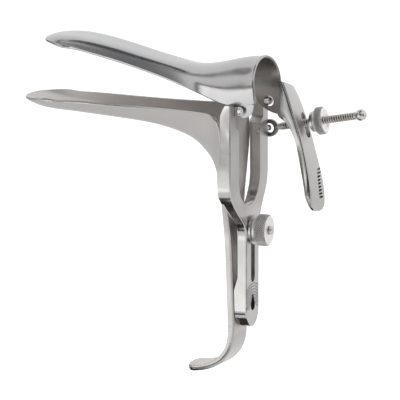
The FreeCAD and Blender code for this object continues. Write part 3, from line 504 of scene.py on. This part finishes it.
def makeReliefTree():  # one hand of cut gives a thread, both hands give a diamond knurl
    tree = bpy.data.node_groups.new("cutRelief", "GeometryNodeTree")
    tree.interface.new_socket("Geometry", in_out="INPUT", socket_type="NodeSocketGeometry")
    for label in ("Around", "Along", "Depth", "Crossed", "Crest"):
        tree.interface.new_socket(label, in_out="INPUT", socket_type="NodeSocketFloat")
    tree.interface.new_socket("Material", in_out="INPUT", socket_type="NodeSocketMaterial")
    tree.interface.new_socket("Geometry", in_out="OUTPUT", socket_type="NodeSocketGeometry")
    start = addNode(tree, "NodeGroupInput")
    end = addNode(tree, "NodeGroupOutput")

    def maths(operation, *values):
        made = addNode(tree, "ShaderNodeMath", operation=operation)
        for i, value in enumerate(values):
            if isinstance(value, (int, float)):
                made.inputs[i].default_value = value
            else:
                tree.links.new(value, made.inputs[i])
        return made.outputs[0]

    split = addNode(tree, "ShaderNodeSeparateXYZ")
    tree.links.new(addNode(tree, "GeometryNodeInputPosition").outputs[0], split.inputs[0])
    x, y, z = split.outputs
    turn = maths("DIVIDE", maths("ARCTAN2", z, y), 2 * math.pi)
    around = maths("MULTIPLY", turn, start.outputs["Around"])
    along = maths("MULTIPLY", x, start.outputs["Along"])
    firstHand = maths("MULTIPLY", maths("PINGPONG", maths("ADD", around, along), 0.5), 2.0)
    otherHand = maths("MULTIPLY", maths("PINGPONG", maths("SUBTRACT", around, along), 0.5), 2.0)
    otherHand = maths("MAXIMUM", otherHand, maths("SUBTRACT", 1.0, start.outputs["Crossed"]))
    height = maths("MULTIPLY", maths("MINIMUM", firstHand, otherHand), start.outputs["Crest"])
    height = maths("MINIMUM", height, 1.0)
    band = addNode(tree, "GeometryNodeInputNamedAttribute", data_type="FLOAT")
    band.inputs["Name"].default_value = "band"
    cut = maths("MULTIPLY", maths("SUBTRACT", height, 1.0), start.outputs["Depth"])
    cut = maths("MULTIPLY", cut, band.outputs["Attribute"])
    outward = addNode(tree, "ShaderNodeCombineXYZ")
    tree.links.new(y, outward.inputs[1])
    tree.links.new(z, outward.inputs[2])
    unit = addNode(tree, "ShaderNodeVectorMath", operation="NORMALIZE")
    tree.links.new(outward.outputs[0], unit.inputs[0])
    shift = addNode(tree, "ShaderNodeVectorMath", operation="SCALE")
    tree.links.new(unit.outputs[0], shift.inputs[0])
    tree.links.new(cut, shift.inputs["Scale"])
    # cut depth, kept for the painted shade in the grooves
    depth = addNode(tree, "GeometryNodeStoreNamedAttribute", data_type="FLOAT", domain="POINT")
    depth.inputs["Name"].default_value = "grooveShadeMask"
    tree.links.new(start.outputs["Geometry"], depth.inputs["Geometry"])
    sunk = maths("MULTIPLY", maths("SUBTRACT", 1.0, height), band.outputs["Attribute"])
    tree.links.new(sunk, depth.inputs["Value"])
    place = addNode(tree, "GeometryNodeSetPosition")
    tree.links.new(depth.outputs["Geometry"], place.inputs["Geometry"])
    tree.links.new(shift.outputs[0], place.inputs["Offset"])
    whole = addNode(tree, "GeometryNodeRealizeInstances")
    tree.links.new(place.outputs[0], whole.inputs[0])
    paint = addNode(tree, "GeometryNodeSetMaterial")
    tree.links.new(whole.outputs[0], paint.inputs["Geometry"])
    tree.links.new(start.outputs["Material"], paint.inputs["Material"])
    tree.links.new(paint.outputs[0], end.inputs[0])
    return tree


reliefTree = makeReliefTree()


def latheMesh(name, profile, columns, looped):  # profile: (along, radius, band, smooth) in metres
    points, faces, flags = [], [], []
    rows = len(profile)
    for along, radius, _, _ in profile:
        for j in range(columns):
            turn = 2 * math.pi * j / columns
            points.append((along, radius * math.cos(turn), radius * math.sin(turn)))
    for i in range(rows if looped else rows - 1):
        after = (i + 1) % rows
        for j in range(columns):
            beside = (j + 1) % columns
            faces.append((i * columns + j, i * columns + beside, after * columns + beside, after * columns + j))
            flags.append(profile[i][3])
    if not looped:
        faces.append(tuple(reversed(range(columns))))
        faces.append(tuple((rows - 1) * columns + j for j in range(columns)))
        flags += [False, False]
    mesh = bpy.data.meshes.new(name)
    mesh.from_pydata(points, [], faces)
    mesh.polygons.foreach_set("use_smooth", flags)
    shell = bmesh.new()
    shell.from_mesh(mesh)
    bmesh.ops.recalc_face_normals(shell, faces=shell.faces)
    shell.to_mesh(mesh)
    shell.free()
    mesh.attributes.new("band", "FLOAT", "POINT")
    mesh.attributes["band"].data.foreach_set("value", [row[2] for row in profile for _ in range(columns)])
    return mesh


def fillRows(start, end, count, band, smooth):  # rows from one (along, radius) to the next, without the last
    return [(start[0] + (end[0] - start[0]) * i / count, start[1] + (end[1] - start[1]) * i / count, band, smooth)
            for i in range(count)]


def bakeRelief(name, mesh, values, material, matrix):
    made = bpy.data.objects.new(name, mesh)
    scene.collection.objects.link(made)
    relief = made.modifiers.new("relief", "NODES")
    relief.node_group = reliefTree
    for item in reliefTree.interface.items_tree:
        if item.item_type == "SOCKET" and item.in_out == "INPUT" and item.name in values:
            relief[item.identifier] = values[item.name]
        elif item.item_type == "SOCKET" and item.in_out == "INPUT" and item.name == "Material":
            relief[item.identifier] = material
    shown = made.evaluated_get(bpy.context.evaluated_depsgraph_get())
    baked = bpy.data.meshes.new_from_object(shown)
    made.modifiers.clear()
    made.data = baked
    baked.transform(matrix)
    bpy.data.meshes.remove(mesh)
    return made


mm = 0.001
rodTilt = math.radians(10.5)
eyeCentre = Vector((-2.4, 29.0, -15.3)) * mm
rodFrame = Matrix.Translation(eyeCentre) @ Matrix.Rotation(-rodTilt, 4, "Y")

openingNutSpec = {
    "start": 24.54, "collarRadius": 5.25, "collar": 1.2, "radius": 7.1, "length": 4.4, "chamfer": 0.8,
    "soft": 0.25, "bore": 2.11, "recessRadius": 4.6, "recessDepth": 0.8,
    "teeth": 36, "depth": 0.42, "crest": 1.45, "rowsPerTooth": 6,
}
heightNutSpec = {
    "start": 0.5, "collarRadius": 6.2, "collar": 1.8, "radius": 8.0, "length": 5.9, "chamfer": 0.8,
    "soft": 0.25, "bore": 2.36, "recessRadius": 2.9, "recessDepth": 0.15,
    "teeth": 40, "depth": 0.42, "crest": 1.45, "rowsPerTooth": 6,
}


def nutProfile(spec):
    collar, length, chamfer, soft = spec["collar"], spec["length"], spec["chamfer"], spec["soft"]
    radius, ring, bore = spec["radius"], spec["collarRadius"], spec["bore"]
    recess, floor = spec["recessRadius"], collar + length - spec["recessDepth"]
    end = collar + length
    pitch = 2 * math.pi * radius / spec["teeth"]
    bandRows = max(2, round((length - 2 * chamfer) / pitch * spec["rowsPerTooth"]))
    outline = (fillRows((0.0, bore), (0.0, ring - soft), 2, 0.0, False)
               + fillRows((0.0, ring - soft), (soft, ring), 1, 0.0, True)
               + fillRows((soft, ring), (collar - soft, ring), 2, 0.0, True)
               + fillRows((collar - soft, ring), (collar, ring - soft), 1, 0.0, True)
               + fillRows((collar, ring - soft), (collar, radius - chamfer), 1, 0.0, False)
               + fillRows((collar, radius - chamfer), (collar + chamfer, radius), 3, 0.0, False)
               + fillRows((collar + chamfer, radius), (end - chamfer, radius), bandRows, 1.0, False)
               + fillRows((end - chamfer, radius), (end, radius - chamfer), 3, 1.0, False)
               + fillRows((end, radius - chamfer), (end, recess), 2, 0.0, False)
               + fillRows((end, recess), (floor, recess - 2 * soft), 1, 0.0, False)
               + fillRows((floor, recess - 2 * soft), (floor, bore), 2, 0.0, False)
               + fillRows((floor, bore), (0.0, bore), 2, 0.0, True))
    return [((along + spec["start"]) * mm, size * mm, band, smooth) for along, size, band, smooth in outline]


def makeNut(name, spec, node, body, matrix):
    columns = spec["teeth"] * spec["rowsPerTooth"]
    mesh = latheMesh(name + "Blank", nutProfile(spec), columns, True)
    waves = spec["teeth"] / (2 * math.pi * spec["radius"] * mm)
    values = {"Around": float(spec["teeth"]), "Along": waves, "Depth": spec["depth"] * mm,
              "Crossed": 1.0, "Crest": spec["crest"]}
    nut = bakeRelief(name, mesh, values, steels["knurlSteel"], matrix)
    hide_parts(node)
    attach(nut, body)
    return nut


studHeight = -62.65
makeNut("knurledOpeningNut", openingNutSpec, "opening_nut", "opening_nut_body", rodFrame)
makeNut("knurledHeightNut", heightNutSpec, "height_nut", "height_nut_body",
        Matrix.Translation(Vector((0.0, 0.0, studHeight)) * mm))
print("knurled nuts made")

eyeBoltSpec = {
    "hole": 2.4, "outer": 4.45, "thickness": 3.2, "round": 0.7, "ringColumns": 64,
    "neckStart": 3.3, "neckRadius": 1.4, "shoulder": 1.6, "neckEnd": 7.05, "radius": 2.05,
    "threadEnd": 46.9, "rodEnd": 50.8, "stub": 1.4,
    "pitch": 1.25, "depth": 0.5, "crest": 1.45, "columns": 24, "rowsPerPitch": 12, "runOut": 1.5,
}
studSpec = {
    "front": -13.217, "headRadius": 3.6, "headHeight": 1.2, "bevel": 0.6, "radius": 2.3,
    "threadStart": 8.5, "threadEnd": 22.4, "end": 23.0, "tip": 0.5,
    "pitch": 1.0, "depth": 0.4, "crest": 1.45, "columns": 24, "rowsPerPitch": 12, "runOut": 1.0,
}


def ringProfile(spec):
    half, soft = spec["thickness"] / 2, spec["round"]
    rows = []
    corners = [(-half + soft, spec["outer"] - soft, 180, 90), (half - soft, spec["outer"] - soft, 90, 0),
               (half - soft, spec["hole"] + soft, 0, -90), (-half + soft, spec["hole"] + soft, -90, -180)]
    for along, radius, first, last in corners:
        for i in range(5):
            turn = math.radians(first + (last - first) * i / 4)
            rows.append(((along + soft * math.cos(turn)) * mm, (radius + soft * math.sin(turn)) * mm, 0.0, True))
    return rows


def threadRows(spec, start, end, radius):  # full depth between run-outs at both ends
    count = round((end - start) / spec["pitch"] * spec["rowsPerPitch"])
    rows = []
    for i in range(count + 1):
        along = start + (end - start) * i / count
        band = max(0.0, min(1.0, (along - start) / spec["runOut"], (end - along) / spec["runOut"]))
        rows.append((along * mm, radius * mm, band, True))
    return rows


def makeThreaded(name, profile, spec, node, body, matrix):
    mesh = latheMesh(name + "Blank", profile, spec["columns"], False)
    values = {"Around": 1.0, "Along": -1.0 / (spec["pitch"] * mm), "Depth": spec["depth"] * mm,
              "Crossed": 0.0, "Crest": spec["crest"]}
    rod = bakeRelief(name, mesh, values, steels["threadSteel"], matrix)
    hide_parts(node)
    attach(rod, body)
    return rod


def rodProfile(spec):
    neck = [(spec["neckStart"], spec["neckRadius"]), (spec["outer"], spec["shoulder"]),
            (spec["neckEnd"] - 1.2, spec["radius"] - 0.12), (spec["neckEnd"], spec["radius"])]
    stub = [(spec["threadEnd"] + 0.02, spec["stub"]), (spec["rodEnd"], spec["stub"])]
    return ([(along * mm, radius * mm, 0.0, True) for along, radius in neck]
            + threadRows(spec, spec["neckEnd"] + 0.1, spec["threadEnd"], spec["radius"])
            + [(along * mm, radius * mm, 0.0, False) for along, radius in stub])


def studProfile(spec):
    head, radius, bevel = spec["headRadius"], spec["radius"], spec["bevel"]
    end, tip = spec["end"], spec["tip"]
    start = [(0.0, head - bevel), (0.25, head - 0.15), (0.5, head), (spec["headHeight"], head),
             (spec["headHeight"], radius), (spec["threadStart"] - 0.1, radius)]
    return ([(along * mm, size * mm, 0.0, False) for along, size in start]
            + threadRows(spec, spec["threadStart"], spec["threadEnd"], radius)
            + [((end - tip) * mm, radius * mm, 0.0, False), (end * mm, (radius - tip) * mm, 0.0, False)])


makeThreaded("threadedRod", rodProfile(eyeBoltSpec), eyeBoltSpec, "eye_bolt", "eye_bolt_body", rodFrame)
makeThreaded("threadedStud", studProfile(studSpec), studSpec, "height_stud", "handle_body",
             Matrix.Translation(Vector((studSpec["front"], 0.0, studHeight)) * mm))
eyeMesh = latheMesh("rodEye", ringProfile(eyeBoltSpec), eyeBoltSpec["ringColumns"], True)
eyeMesh.transform(Matrix.Translation(eyeCentre) @ Matrix.Rotation(math.radians(90), 4, "Z"))
eyeMesh.materials.append(steels["eyeSteel"])
rodEye = bpy.data.objects.new("rodEye", eyeMesh)
scene.collection.objects.link(rodEye)
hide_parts("eye_bolt")
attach(rodEye, "eye_bolt_body")
print("threaded rod, eye and stud made")
